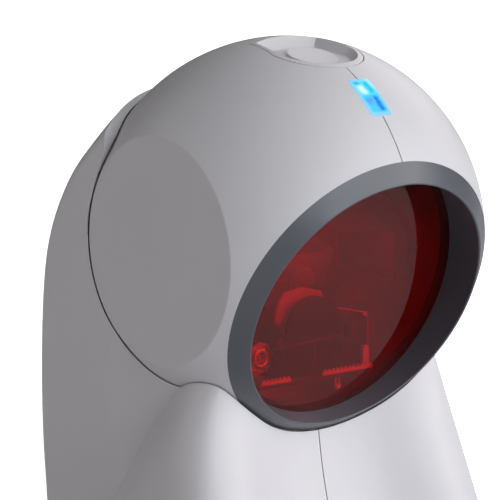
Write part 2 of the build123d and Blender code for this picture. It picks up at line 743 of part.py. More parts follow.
def make_bench():
    """Optical bench: back plate, front deck, cradle for the pattern mirrors and board standoffs."""
    with BuildPart() as optical_bench:
        with BuildSketch(OPTICS.offset(BENCH_BACK)):
            with Locations((0, -1.5)):
                RectangleRounded(2 * BENCH_HALF_W, 69, 3)
            with Locations((0, 27.5)):
                RectangleRounded(58, 9, 3)
            with Locations((0, -37)):
                RectangleRounded(2 * TONGUE_HALF_W, 10, 1)
            for x, v in BENCH_POST_AT:
                with Locations((x, v)):
                    Circle(1.4, mode=Mode.SUBTRACT)
            with Locations((HARNESS_JOIN_X + 2.4, 0)):
                Circle(2.2, mode=Mode.SUBTRACT)
        extrude(amount=BENCH_FRONT - BENCH_BACK)
        with BuildSketch(OPTICS.offset(BOARD_FRONT)):
            with Locations((17, -19), (-17, -19), (17, 22), (-17, 22)):
                Circle(2)
        extrude(amount=BENCH_BACK - BOARD_FRONT)
        with BuildSketch(Plane.XY.offset(HEAD_Z + DECK_TOP)):
            with BuildLine():
                Polyline((-DECK_HALF_W + DECK_CORNER, DECK_FRONT), (DECK_HALF_W - DECK_CORNER, DECK_FRONT),
                         (DECK_HALF_W, DECK_FRONT + DECK_CORNER), (DECK_HALF_W, 5), (TONGUE_HALF_W, 9),
                         (TONGUE_HALF_W, 22), (-TONGUE_HALF_W, 22), (-TONGUE_HALF_W, 9), (-DECK_HALF_W, 5),
                         (-DECK_HALF_W, DECK_FRONT + DECK_CORNER), close=True)
            make_face()
        extrude(amount=-DECK_T)
        rotor = optics_point(0, ROTOR_V, 0)
        low_r, low_h = CRADLE_LOW
        high_r, high_h = CRADLE_HIGH
        with BuildSketch(Plane(origin=rotor, x_dir=(1, 0, 0), z_dir=RADIAL.z_dir)):
            with BuildLine():
                Polyline((low_r, low_h), (high_r, high_h), (high_r + 1.8, high_h), (low_r + 1.8, low_h), close=True)
            make_face()
        revolve(axis=Axis(rotor, WINDOW_DIR), revolution_arc=180)
        with BuildSketch(OPTICS.offset(BENCH_FRONT)):
            for angle in (40, 90, 140):
                with Locations((18.2 * cos(radians(angle)), ROTOR_V + 18.2 * sin(radians(angle)))):
                    Circle(1.6)
        extrude(amount=8)
    finish(optical_bench.part, "optical_bench")


def make_mirrors():
    """Five pattern mirrors round the rotor, and the upright collecting mirror on the deck."""
    low_r, low_h = CRADLE_LOW
    high_r, high_h = CRADLE_HIGH
    run = hypot(high_r - low_r, high_h - low_h)
    lean_r = (high_r - low_r) / run
    lean_h = (high_h - low_h) / run
    with BuildPart() as pattern_mirrors:
        for i in range(MIRROR_COUNT):
            angle = radians(18 + 36 * i)
            low = low_r * cos(radians(18)) - 0.7
            foot = optics_point(low * cos(angle), ROTOR_V + low * sin(angle), low_h + 0.4)
            across = optics_dir(-sin(angle), cos(angle), 0)
            facing = optics_dir(-lean_h * cos(angle), -lean_h * sin(angle), lean_r)
            length = run - 2.4
            with BuildSketch(Plane(origin=foot, x_dir=across, z_dir=facing)):
                with BuildLine():
                    Polyline((-4.6, 0), (4.6, 0), (8.0, -length), (-8.0, -length), close=True)
                make_face()
            extrude(amount=0.9)
    finish(pattern_mirrors.part, "pattern_mirrors")

    with BuildPart() as collecting_mirror:
        arch_foot = (ARCH_X, DECK_FRONT, HEAD_Z + DECK_TOP)
        with BuildSketch(Plane(origin=arch_foot, x_dir=(1, 0, 0), z_dir=(0, -1, 0))):
            with BuildLine():
                Polyline((-ARCH_HALF_W + 1, ARCH_SHOULDER), (-ARCH_HALF_W, 0), (ARCH_HALF_W, 0),
                         (ARCH_HALF_W - 1, ARCH_SHOULDER))
                ThreePointArc((ARCH_HALF_W - 1, ARCH_SHOULDER), (0, ARCH_TOP), (-ARCH_HALF_W + 1, ARCH_SHOULDER))
            make_face()
        extrude(amount=-1.4)
    finish(collecting_mirror.part, "collecting_mirror")


def make_motor():
    """Stator on the bench, spindle, and the rotor hub with its four-sided mirror."""
    with BuildPart() as motor_stator:
        with BuildSketch(OPTICS.offset(BENCH_FRONT)):
            with Locations((0, ROTOR_V)):
                Circle(8.4)
        extrude(amount=1.4)
        with BuildSketch(OPTICS.offset(BENCH_FRONT + 1.4)):
            with Locations((0, ROTOR_V)):
                Circle(3.2)
                with PolarLocations(5.7, 6):
                    Circle(1.6)
        extrude(amount=2.8)
        with BuildSketch(OPTICS.offset(BENCH_FRONT)):
            with Locations((0, ROTOR_V)):
                Circle(SPINDLE_R + FIT_GAP)
        extrude(amount=6, mode=Mode.SUBTRACT)
    finish(motor_stator.part, "motor_stator")

    with BuildPart() as rotor_spindle:
        with BuildSketch(OPTICS.offset(BENCH_FRONT)):
            with Locations((0, ROTOR_V)):
                Circle(SPINDLE_R)
        extrude(amount=14.4)
    finish(rotor_spindle.part, "rotor_spindle")

    with BuildPart() as rotor_hub:
        with BuildSketch(OPTICS.offset(0.9)):
            with Locations((0, ROTOR_V)):
                Circle(9.4)
        extrude(amount=1.7)
        with BuildSketch(OPTICS.offset(2.6)):
            with Locations((0, ROTOR_V)):
                Circle(3.6)
        extrude(amount=7.2)
        with BuildSketch(OPTICS):
            with Locations((0, ROTOR_V)):
                Circle(SPINDLE_R + FIT_GAP)
        extrude(amount=12, mode=Mode.SUBTRACT)
    finish(rotor_hub.part, "rotor_hub")

    with BuildPart() as polygon_mirror:
        with BuildSketch(OPTICS.offset(2.6)):
            with Locations((0, ROTOR_V)):
                Rectangle(POLYGON_W, POLYGON_W)
                Circle(3.65, mode=Mode.SUBTRACT)
        extrude(amount=6.4)
    finish(polygon_mirror.part, "polygon_mirror")


def make_electronics():
    """Laser module, photodetector, main board with its chips, and the beeper."""
    with BuildPart() as laser_module:
        x, y, z = LASER_AT
        with Locations((x, y, HEAD_Z + z)):
            Cylinder(LASER_R, LASER_L, rotation=(90, 0, 0))
        with Locations((x, y, HEAD_Z + DECK_TOP)):
            Box(7, 10, 3, align=(Align.CENTER, Align.CENTER, Align.MIN))
        with Locations((x, y - LASER_L / 2, HEAD_Z + z)):
            Cylinder(1.4, 3, rotation=(90, 0, 0), mode=Mode.SUBTRACT)
    finish(laser_module.part, "laser_module")

    with BuildPart() as photodetector_board:
        x, y = DETECTOR_AT
        with Locations((x, y, HEAD_Z + DECK_TOP)):
            Box(DETECTOR_W, 1.2, DETECTOR_H, align=(Align.CENTER, Align.CENTER, Align.MIN))
        with Locations((x, y - 1.6, HEAD_Z + DECK_TOP + 9)):
            Cylinder(2.6, 2, rotation=(90, 0, 0))
    finish(photodetector_board.part, "photodetector_board")

    with BuildPart() as main_board:
        with BuildSketch(OPTICS.offset(BOARD_FRONT)):
            with Locations((0, 2)):
                RectangleRounded(2 * BENCH_HALF_W, 48, 1.5)
        extrude(amount=-BOARD_T)
    finish(main_board.part, "main_board")

    with BuildPart() as board_chips:
        with BuildSketch(OPTICS.offset(BOARD_FRONT - BOARD_T)):
            with Locations((-8, 13)):
                Rectangle(12, 12)
            with Locations((9, 15)):
                Rectangle(8, 6)
            with Locations((-12, -10)):
                Rectangle(9, 5)
            with Locations((-2, 0)):
                Rectangle(5, 5)
        extrude(amount=-1.5)
    finish(board_chips.part, "board_chips")

    with BuildPart() as beeper:
        with BuildSketch(OPTICS.offset(BOARD_FRONT - BOARD_T)):
            with Locations((9, -9)):
                Circle(6)
        extrude(amount=-6.5)
        with BuildSketch(OPTICS.offset(BOARD_FRONT - BOARD_T - 6.5)):
            with Locations((9, -9)):
                Circle(1.2)
        extrude(amount=2, mode=Mode.SUBTRACT)
    finish(beeper.part, "beeper")


def make_harness():
    """Internal cable in two lengths, which meet on the tilt axis."""
    lower = [
        (-11, 29, SOCKET_BOTTOM),
        (-11, 29, 24),
        (HARNESS_X, ELBOW, 42),
        (HARNESS_X, ELBOW, HEAD_Z - ELBOW),
        (HARNESS_X, 0, HEAD_Z),
        (HARNESS_JOIN_X, 0, HEAD_Z),
    ]
    upper = [
        (HARNESS_JOIN_X, 0, HEAD_Z),
        (HARNESS_JOIN_X + 2.4, 0, HEAD_Z),
        optics_point(HARNESS_JOIN_X + 2.4, 0, BOARD_FRONT),
    ]
    routes = (
        ("harness_lower", lower, [8, 8, 12, 4]),
        ("harness_upper", upper, [2.2]),
    )
    for name, points, bends in routes:
        with BuildPart() as harness:
            with BuildLine() as route:
                FilletPolyline(*points, radius=bends)
            with BuildSketch(Plane(origin=route.line @ 0, z_dir=route.line % 0)):
                Circle(HARNESS_R)
            sweep(path=route.line)
        finish(harness.part, name)


def make_shells():
    """Part the head and the stand at the middle and write the four shells."""
    head = head_shell()
    stand = stand_shell()
    for side, name in ((-1, "left"), (1, "right")):
        finish(half(head, side), f"head_shell_{name}")
        finish(half(stand, side), f"stand_shell_{name}")


make_shells()
make_base()
make_cable_socket()
make_yoke()
make_head_screws()
make_window()
make_button()
make_indicator()
make_bench()
make_mirrors()
make_motor()
make_electronics()
make_harness()
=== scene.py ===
"""Looks of the tilting presentation scanner: materials, fine detail, studio light and camera.

Metres, +Z up, front towards -Y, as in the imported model. Pieces are placed from the model's own boxes and
joints, and their measures are in millimetres.
"""

import json
from math import cos, pi, radians, sin

import bmesh
import bpy
from mathutils import Matrix, Vector


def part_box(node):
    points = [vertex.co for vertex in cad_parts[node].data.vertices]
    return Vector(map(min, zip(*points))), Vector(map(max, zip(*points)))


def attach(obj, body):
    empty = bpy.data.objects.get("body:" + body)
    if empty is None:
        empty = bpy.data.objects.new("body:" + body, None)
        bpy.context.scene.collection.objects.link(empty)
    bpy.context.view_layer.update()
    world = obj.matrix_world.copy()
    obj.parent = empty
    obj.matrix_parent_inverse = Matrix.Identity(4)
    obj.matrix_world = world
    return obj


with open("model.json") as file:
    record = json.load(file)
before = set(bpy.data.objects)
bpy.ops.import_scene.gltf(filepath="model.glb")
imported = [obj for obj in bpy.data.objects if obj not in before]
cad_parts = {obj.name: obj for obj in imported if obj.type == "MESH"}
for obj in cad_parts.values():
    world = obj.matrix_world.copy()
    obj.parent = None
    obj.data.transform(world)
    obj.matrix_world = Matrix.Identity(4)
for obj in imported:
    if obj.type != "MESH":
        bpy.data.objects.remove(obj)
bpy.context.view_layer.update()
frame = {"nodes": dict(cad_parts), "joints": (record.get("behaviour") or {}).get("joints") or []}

MM = 0.001
JOINTS = {joint["name"]: joint for joint in frame["joints"]}
CENTRE = Vector(JOINTS["head_tilt"]["pos_m"])
ROTOR = Vector(JOINTS["polygon_spin"]["pos_m"])
OUTWARD = Vector(JOINTS["polygon_spin"]["axis"]).normalized()
ACROSS = Vector((1, 0, 0))
INWARD = Vector((0, 1, 0))
LEVEL = Vector((0, 0, 1))
UPWARD = OUTWARD.cross(ACROSS)


def optics(x, v, h):
    """A point given in millimetres across, up and along the window's axis, from the middle of the ball."""
    return CENTRE + (ACROSS * x + UPWARD * v + OUTWARD * h) * MM


# ---------------------------------------------------------------- camera

# Where the camera stands from the middle of the ball, which way its back faces, and its lens in millimetres,
# as fitted to the outlines in the photograph.
CAMERA_TURN = radians(-39.327)
CAMERA_RISE = radians(10.067)
CAMERA_AWAY = 0.900447
LOOK_TURN = radians(-38.721)
LOOK_RISE = radians(10.340)
CAMERA_LENS = 256.19


def direction(turn, rise):
    """Unit vector at an angle round Z from -Y, and an angle up from level."""
    return Vector((sin(turn) * cos(rise), -cos(turn) * cos(rise), sin(rise)))


def make_camera():
    """Long lens from the front left, a little above."""
    data = bpy.data.cameras.new("camera")
    data.lens = CAMERA_LENS
    camera = bpy.data.objects.new("camera", data)
    back = direction(LOOK_TURN, LOOK_RISE)
    right = Vector((cos(LOOK_TURN), sin(LOOK_TURN), 0))
    rotation = Matrix((right, back.cross(right), back)).transposed()
    place = CENTRE + CAMERA_AWAY * direction(CAMERA_TURN, CAMERA_RISE)
    camera.matrix_world = Matrix.Translation(place) @ rotation.to_4x4()
    bpy.context.scene.collection.objects.link(camera)
    bpy.context.scene.camera = camera


# ---------------------------------------------------------------- material kit

class Shader:
    """A node material in the making: short calls for the few nodes that the finishes use."""

    def __init__(self, name):
        self.material = bpy.data.materials.new(name)
        self.material.use_nodes = True
        self.tree = self.material.node_tree
        self.nodes = self.tree.nodes
        self.surface = self.nodes["Principled BSDF"]
        self.coords = self.add("ShaderNodeTexCoord").outputs["Object"]

    def add(self, kind, **settings):
        node = self.nodes.new(kind)
        for key, value in settings.items():
            setattr(node, key, value)
        return node

    def link(self, source, target):
        self.tree.links.new(source, target)

    def set(self, **values):
        for key, value in values.items():
            socket = self.surface.inputs[key.replace("_", " ")]
            socket.default_value = (*value, 1) if isinstance(value, tuple) and len(value) == 3 else value

    def noise(self, per_metre, detail=3, stretch=(1, 1, 1)):
        """Noise from 0 to 1, with so many features to the metre."""
        source = self.coords
        if stretch != (1, 1, 1):
            mapping = self.add("ShaderNodeMapping")
            mapping.inputs["Scale"].default_value = stretch
            self.link(source, mapping.inputs["Vector"])
            source = mapping.outputs["Vector"]
        node = self.add("ShaderNodeTexNoise")
        node.inputs["Scale"].default_value = per_metre
        node.inputs["Detail"].default_value = detail
        self.link(source, node.inputs["Vector"])
        return node.outputs["Fac"]

    def ranged(self, source, low, high, start=0.3, end=0.7):
        """Stretch a value between two limits."""
        node = self.add("ShaderNodeMapRange")
        node.inputs["From Min"].default_value = start
        node.inputs["From Max"].default_value = end
        node.inputs["To Min"].default_value = low
        node.inputs["To Max"].default_value = high
        self.link(source, node.inputs["Value"])
        return node.outputs["Result"]

    def mix(self, factor, first, second):
        """Blend two colours by a value."""
        node = self.add("ShaderNodeMix", data_type="RGBA")
        for key, value in (("Factor", factor), ("A", first), ("B", second)):
            socket = node.inputs[key]
            if isinstance(value, tuple):
                socket.default_value = (*value, 1)
            elif isinstance(value, (int, float)):
                socket.default_value = value
            else:
                self.link(value, socket)
        return node.outputs["Result"]

    def math(self, operation, *values):
        """One sum on values or sockets."""
        node = self.add("ShaderNodeMath", operation=operation)
        for socket, value in zip(node.inputs, values):
            if isinstance(value, (int, float)):
                socket.default_value = value
            else:
                self.link(value, socket)
        return node.outputs["Value"]

    def away_from(self, point):
        """Distance from a point, in metres."""
        node = self.add("ShaderNodeVectorMath", operation="DISTANCE")
        node.inputs[1].default_value = point
        self.link(self.coords, node.inputs[0])
        return node.outputs["Value"]

    def along(self, origin, way):
        """Millimetres from a point in one direction."""
        node = self.add("ShaderNodeVectorMath", operation="DOT_PRODUCT")
        node.inputs[1].default_value = way
        self.link(self.coords, node.inputs[0])
        return self.math("MULTIPLY_ADD", node.outputs["Value"], 1000.0, -1000.0 * origin.dot(way))

    def band(self, value, middle, reach, soft):
        """One inside a stretch of a value and nothing outside it, with soft ends."""
        away = self.math("ABSOLUTE", self.math("SUBTRACT", value, middle))
        return self.ranged(away, 1, 0, reach - soft, reach + soft)

    def colour(self, source):
        self.link(source, self.surface.inputs["Base Color"])

    def tint(self, colour, per_metre, spread, stretch=(1, 1, 1)):
        """A base colour that drifts a little darker and lighter."""
        dark = tuple(c * (1 - spread) for c in colour)
        light = tuple(min(1, c * (1 + spread)) for c in colour)
        self.colour(self.mix(self.ranged(self.noise(per_metre, 4, stretch), 0, 1), dark, light))

    def rough(self, per_metre, low, high, stretch=(1, 1, 1)):
        """Roughness that drifts between two limits."""
        self.link(self.ranged(self.noise(per_metre, 3, stretch), low, high), self.surface.inputs["Roughness"])

    def bump(self, height, depth_mm, strength=1.0):
        """Raise the surface by a height from 0 to 1."""
        node = self.add("ShaderNodeBump")
        node.inputs["Strength"].default_value = strength
        node.inputs["Distance"].default_value = depth_mm * MM
        self.link(height, node.inputs["Height"])
        self.link(node.outputs["Normal"], self.surface.inputs["Normal"])

    def clear_where(self, factor, colour=(1, 1, 1)):
        """Let light straight through where a factor is one."""
        clear = self.add("ShaderNodeBsdfTransparent")
        clear.inputs["Color"].default_value = (*colour, 1)
        mix = self.add("ShaderNodeMixShader")
        self.link(factor, mix.inputs["Fac"])
        self.link(self.surface.outputs["BSDF"], mix.inputs[1])
        self.link(clear.outputs["BSDF"], mix.inputs[2])
        self.link(mix.outputs["Shader"], self.nodes["Material Output"].inputs["Surface"])


# ---------------------------------------------------------------- finishes

def shell_finish():
    """Warm light grey ABS with a fine spark-eroded skin."""
    s = Shader("shell")
    s.set(IOR=1.5, Specular_IOR_Level=0.42)
    s.tint((0.565, 0.556, 0.578), 26, 0.012)
    s.rough(90, 0.40, 0.46)
    s.bump(s.noise(3400, 2), 0.012, 0.5)
    return s.material


def bezel_finish():
    """Blue-grey ABS, satin, a little glossier than the shells."""
    s = Shader("bezel")
    s.set(IOR=1.5, Specular_IOR_Level=0.5)
    s.tint((0.072, 0.078, 0.092), 60, 0.05)
    s.rough(140, 0.34, 0.42)
    s.bump(s.noise(3000, 2), 0.010, 0.45)
    return s.material


WINDOW_RED = (0.62, 0.006, 0.011)
WINDOW_LAMPLIGHT = (0.8, 0.08, 0.1)
WINDOW_CLARITY = 0.962
# Painted glow: two patches where the filter is made cloudier, so that its red shows brighter there.
PAINTED_GLOW_CLOUDS = [
    # middle, cloudiness there as painted glow, where it starts to thin out and where it ends
    (optics(-19, 9, 22), 0.075, 3 * MM, 19 * MM),
    (optics(5, 17, 20), 0.028, 14 * MM, 30 * MM),
]


def window_finish():
    """Polished red filter, faintly cloudy, that lets lamps through to the optics behind it; two patches of
    extra cloudiness are painted glow.
    """
    s = Shader("window")
    s.set(IOR=1.385, Base_Color=WINDOW_RED)
    # The two clouds below are painted glow, not a real haze in the filter.
    glow, painted_broad_glow = [s.ranged(s.away_from(middle), most, 0, near, far) for middle, most, near, far in PAINTED_GLOW_CLOUDS]
    painted_glow_haze = s.math("ADD", glow, painted_broad_glow)
    s.link(s.math("SUBTRACT", WINDOW_CLARITY, painted_glow_haze), s.surface.inputs["Transmission Weight"])
    smear = s.noise(70, 3, (1, 1, 0.4))
    s.link(s.ranged(smear, 0.006, 0.03), s.surface.inputs["Roughness"])
    s.clear_where(s.add("ShaderNodeLightPath").outputs["Is Shadow Ray"], WINDOW_LAMPLIGHT)
    return s.material


def rubber_finish():
    """Matt black rubber with fine pits."""
    s = Shader("rubber")
    s.set(Specular_IOR_Level=0.35)
    s.tint((0.022, 0.022, 0.024), 300, 0.2)
    s.rough(500, 0.62, 0.8)
    s.bump(s.noise(2200, 4), 0.03, 0.7)
    return s.material


def dark_plastic_finish():
    """Black glass-filled moulding with faint flow marks."""
    s = Shader("dark_plastic")
    s.set(Specular_IOR_Level=0.5)
    s.tint((0.03, 0.03, 0.034), 120, 0.25, (1, 1, 3))
    s.rough(260, 0.36, 0.52)
    s.bump(s.noise(1800, 3), 0.015, 0.6)
    return s.material


def metal_finish(name, colour, low, high, stretch, depth_mm):
    """A bare or plated metal whose grain runs along one axis."""
    s = Shader(name)
    s.set(Metallic=1.0)
    s.tint(colour, 220, 0.06, stretch)
    s.rough(600, low, high, stretch)
    s.bump(s.noise(1600, 3, stretch), depth_mm, 0.6)
    return s.material


def bush_finish():
    """Natural acetal, slightly waxy."""
    s = Shader("bush_plastic")
    s.set(Subsurface_Weight=0.15, Subsurface_Scale=0.6 * MM, Specular_IOR_Level=0.45)
    s.tint((0.72, 0.69, 0.62), 180, 0.03)
    s.rough(200, 0.34, 0.46)
    s.bump(s.noise(2400, 2), 0.006, 0.4)
    return s.material


# The silvering is much darker than real silver: painted shade. The dusty one also carries real dust.
DIMMED_SILVERING = (0.30, 0.30, 0.31)
DUSTY_DIMMED_SILVERING = (0.33, 0.33, 0.34)
# Near black over the middle of the collecting mirror: painted shade for the dark arch.
ARCH_PAINTED_SHADE = (0.035, 0.033, 0.033)
ARCH_PAINTED_SHADE_REACH = 13


def mirror_finish():
    """Front-silvered glass with a trace of dust, its silvering darkened as painted shade; the upright
    collecting mirror is painted near black in its middle, as painted shade.
    """
    s = Shader("mirror")
    s.set(Metallic=1.0)
    low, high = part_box("collecting_mirror")
    # Painted shade: the collecting mirror's middle is made near black.
    arch_shade_mask = s.ranged(s.away_from((low + high) / 2), 1, 0, ARCH_PAINTED_SHADE_REACH * MM, (ARCH_PAINTED_SHADE_REACH + 1) * MM)
    dust = s.ranged(s.noise(300, 4), 0, 1)
    s.colour(s.mix(arch_shade_mask, s.mix(dust, DIMMED_SILVERING, DUSTY_DIMMED_SILVERING), ARCH_PAINTED_SHADE))
    s.rough(900, 0.10, 0.16)
    s.bump(s.noise(400, 2), 0.001, 0.2)
    return s.material


SOLDER_MASK = (0.008, 0.085, 0.03)
MASKED_COPPER = (0.03, 0.20, 0.06)


def board_finish():
    """Green solder mask over a grid of copper tracks."""
    s = Shader("board")
    s.set(Specular_IOR_Level=0.6)
    bricks = s.add("ShaderNodeTexBrick", offset=0.5, squash=1.0)
    bricks.inputs["Scale"].default_value = 420
    bricks.inputs["Mortar Size"].default_value = 0.06
    for key, grey in (("Color1", 0), ("Color2", 0.15), ("Mortar", 1)):
        bricks.inputs[key].default_value = (grey, grey, grey, 1)
    s.link(s.coords, bricks.inputs["Vector"])
    tracks = s.math("MULTIPLY", bricks.outputs["Color"], s.ranged(s.noise(160, 2), 0.2, 1))
    s.colour(s.mix(tracks, SOLDER_MASK, MASKED_COPPER))
    s.rough(300, 0.24, 0.36)
    s.bump(tracks, 0.03, 0.6)
    return s.material


def chip_finish():
    """Moulded black epoxy."""
    s = Shader("chip")
    s.set(Specular_IOR_Level=0.4)
    s.tint((0.018, 0.018, 0.019), 600, 0.2)
    s.rough(800, 0.42, 0.58)
    s.bump(s.noise(3200, 3), 0.012, 0.6)
    return s.material


REAR_BLUE = (0.06, 0.80, 1.0)
FRONT_BLUE = (0.07, 0.62, 1.0)
RIM_BLUE = (0.26, 0.68, 1.0)
LENS_HALF_WIDE = 2.5
LENS_HALF_LONG = 5.2
SPOTS = [
    # millimetres across and rearward of the lens's middle, how far each way, colour
    (1.15, -2.6, 0.75, 2.4, (0.0, 0.15, 0.84)),
    (-1.1, -1.6, 0.9, 1.0, (0.10, 0.36, 0.98)),
    (1.2, 2.9, 0.5, 2.0, (0.0, 0.44, 0.70)),
    (-1.5, 4.6, 0.7, 0.6, (0.01, 0.37, 0.62)),
    (-1.2, 2.2, 0.9, 1.5, (0.75, 1.0, 1.0)),
]


def indicator_finish():
    """Two lit cells behind one clear lens: the rear one nearly white in its middle, the front one bluer."""
    s = Shader("indicator")
    low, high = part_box("indicator_lens")
    middle = (low + high) / 2
    outward = (middle - CENTRE).normalized()
    across = s.along(middle, ACROSS)
    rearward = s.along(middle, outward.cross(ACROSS))
    wobble = s.ranged(s.noise(500, 2), -0.25, 0.25)
    across = s.math("ADD", across, wobble)
    rear_cell = s.ranged(rearward, 0, 1, -0.1, 0.6)
    front_cell = s.math("SUBTRACT", 1.0, rear_cell)
    hue = s.mix(rear_cell, FRONT_BLUE, REAR_BLUE)
    for over, back, wide, long, colour in SPOTS:
        spot = s.math("MULTIPLY", s.band(across, over, wide, 0.5), s.band(rearward, back, long, 0.6))
        cell = rear_cell if back > 0 else front_cell
        hue = s.mix(s.math("MULTIPLY", spot, cell), hue, colour)
    inside_across = s.band(across, 0.0, LENS_HALF_WIDE, 0.35)
    inside_along = s.band(rearward, 0.0, LENS_HALF_LONG, 0.4)
    hue = s.mix(s.math("MULTIPLY", inside_across, inside_along), RIM_BLUE, hue)
    s.set(IOR=1.49, Roughness=0.12, Coat_Weight=0.3, Base_Color=(0.0, 0.06, 0.12), Emission_Strength=0.92)
    s.link(hue, s.surface.inputs["Emission Color"])
    return s.material


METALS = [
    # slot, colour, least and most roughness, squeeze of the grain on each axis, its depth in millimetres
    ("steel", (0.40, 0.40, 0.41), 0.30, 0.42, (1, 1, 4), 0.01),
    ("cast_metal", (0.42, 0.42, 0.43), 0.42, 0.58, (1, 1, 1), 0.04),
    ("brass", (0.72, 0.50, 0.22), 0.22, 0.34, (1, 6, 1), 0.008),
    ("pin_steel", (0.60, 0.60, 0.61), 0.16, 0.24, (8, 1, 1), 0.004),
]


def make_finishes():
    """One material for each slot of the record."""
    finishes = {
        "shell": shell_finish(),
        "bezel": bezel_finish(),
        "window": window_finish(),
        "rubber": rubber_finish(),
        "dark_plastic": dark_plastic_finish(),
        "bush_plastic": bush_finish(),
        "indicator": indicator_finish(),
        "board": board_finish(),
        "chip": chip_finish(),
        "mirror": mirror_finish(),
    }
    finishes.update({row[0]: metal_finish(*row) for row in METALS})
    return finishes


def dress_nodes(finishes):
    """Put each CAD node's finish into its material slots."""
    for node in frame["nodes"].values():
        for slot in node.material_slots:
            slot.material = finishes[slot.material.name]


# ---------------------------------------------------------------- added pieces

def make_piece(name, shape, slot, body, finishes, soften_mm=0.12):
    """A new piece from a bmesh, with softened edges, that rides on one body."""
    mesh = bpy.data.meshes.new(name)
    bmesh.ops.recalc_face_normals(shape, faces=shape.faces)
    shape.to_mesh(mesh)
    shape.free()
    mesh.materials.append(finishes[slot])
    piece = bpy.data.objects.new(name, mesh)
    bpy.context.scene.collection.objects.link(piece)
    if soften_mm:
        bevel = piece.modifiers.new("soften", "BEVEL")
        bevel.width = soften_mm * MM
        bevel.segments = 2
        bevel.limit_method = "ANGLE"
    for face in mesh.polygons:
        face.use_smooth = soften_mm == 0
    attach(piece, body)


def add_slab(shape, outline, over, up, start, thick):
    """A flat outline in millimetres on two directions from a start point, thickened across them."""
    through = over.cross(up) * thick * MM
    near = [shape.verts.new(start + (over * a + up * b) * MM) for a, b in outline]
    far = [shape.verts.new(vert.co + through) for vert in near]
    shape.faces.new(near)
    shape.faces.new(reversed(far))
    for i in range(len(near)):
        j = (i + 1) % len(near)
        shape.faces.new((near[i], far[i], far[j], near[j]))


def spokes(over, up, count):
    """Unit vectors all round, from one direction towards another that is square to it."""
    return [over * cos(2 * pi * k / count) + up * sin(2 * pi * k / count) for k in range(count)]


def add_ring(shape, middle, side, other, radius_mm, sides):
    """Corners round a circle that spans two directions."""
    return [shape.verts.new(middle + spoke * radius_mm * MM) for spoke in spokes(side, other, sides)]


def join_rings(shape, rings):
    """Faces between each ring and the next."""
    for first, second in zip(rings, rings[1:]):
        for k in range(len(first)):
            j = (k + 1) % len(first)
            shape.faces.new((first[k], first[j], second[j], second[k]))


def add_tube(shape, points, radius_mm, sides=10):
    """A round rod along a row of points."""
    rings = []
    for i, point in enumerate(points):
        way = (points[min(i + 1, len(points) - 1)] - points[max(i - 1, 0)]).normalized()
        side = way.orthogonal().normalized() if i == 0 else (side - way * side.dot(way)).normalized()
        rings.append(add_ring(shape, point, side, way.cross(side), radius_mm, sides))
    join_rings(shape, rings)
    shape.faces.new(reversed(rings[0]))
    shape.faces.new(rings[-1])


def add_lathe(shape, profile, start, way, sides=32):
    """A turned form from radius and height in millimetres, about a direction."""
    side = way.orthogonal().normalized()
    other = way.cross(side)
    rings = []
    for radius, height in profile:
        rings.append(add_ring(shape, start + way * height * MM, side, other, radius, sides))
    join_rings(shape, rings + rings[:1])


def box_outline(left, right, low, high):
    """A rectangle as an outline."""
    return [(left, low), (right, low), (right, high), (left, high)]


def rounded_outline(left, right, low, high, corner, steps=6):
    """A rectangle with rounded corners as an outline."""
    left, right, low, high = left + corner, right - corner, low + corner, high - corner
    outline = []
    for quarter, (over, up) in enumerate(((right, high), (left, high), (left, low), (right, low))):
        for k in range(steps):
            angle = pi / 2 * (quarter + k / (steps - 1))
            outline.append((over + corner * cos(angle), up + corner * sin(angle)))
    return outline


def deck(x, y, z):
    """A point in millimetres across, in and up, from where the arch's face meets the deck."""
    low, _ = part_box("collecting_mirror")
    return Vector((0, low.y, low.z)) + Vector((x, y, z)) * MM


def add_upright(shape, outline, start, thick):
    """A slab that faces the front: its face's outline across and up from a point, thickened to the back."""
    add_slab(shape, outline, ACROSS, LEVEL, start, -thick)


def make_arch_ribs(finishes):
    """An upright rib and a slanting one, proud of the arch's face."""
    low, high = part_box("collecting_mirror")
    foot = deck((low.x + high.x) / 2 / MM, -0.3, 0)
    ribs = bmesh.new()
    add_upright(ribs, box_outline(-0.22, 0.18, 0.3, 9.0), foot, 0.3)
    add_upright(ribs, [(-9.3, 8.3), (9.3, 9.1), (9.3, 9.5), (-9.3, 8.7)], foot, 0.3)
    make_piece("arch_ribs", ribs, "bezel", "head", finishes, 0.06)


RAIL_THICK = 0.45
RAIL_SPANS = [(-18.0, -8.6), (2.0, 18.2)]
TOOTH_PITCH = 1.3
TOOTH_HALF = 0.3


def make_deck_rails(finishes):
    """Two toothed rails along the deck's front edge."""
    edge = deck(0, -RAIL_THICK, 0)
    rails = bmesh.new()
    for left, right in RAIL_SPANS:
        add_upright(rails, box_outline(left, right, -0.5, 0.4), edge, RAIL_THICK)
        teeth = int((right - left) / TOOTH_PITCH)
        for i in range(teeth):
            at = left + (i + 0.5) * (right - left) / teeth
            add_upright(rails, box_outline(at - TOOTH_HALF, at + TOOTH_HALF, 0.4, 0.95), edge, RAIL_THICK)
    make_piece("deck_rails", rails, "bush_plastic", "head", finishes, 0.05)


POST_LEFT = 16.5
POST_RIGHT = 18.5
POST_HIGH = 5.0


def make_deck_post(finishes):
    """A short post at the right end of the deck, with its top corners cut."""
    outline = [
        (POST_LEFT, 0), (POST_RIGHT, 0),
        (POST_RIGHT, POST_HIGH - 0.6), (POST_RIGHT - 0.3, POST_HIGH),
        (POST_LEFT + 0.3, POST_HIGH), (POST_LEFT, POST_HIGH - 0.6),
    ]
    post = bmesh.new()
    add_upright(post, outline, deck(0, 1.2, 0), 1.2)
    make_piece("deck_post", post, "bush_plastic", "head", finishes)


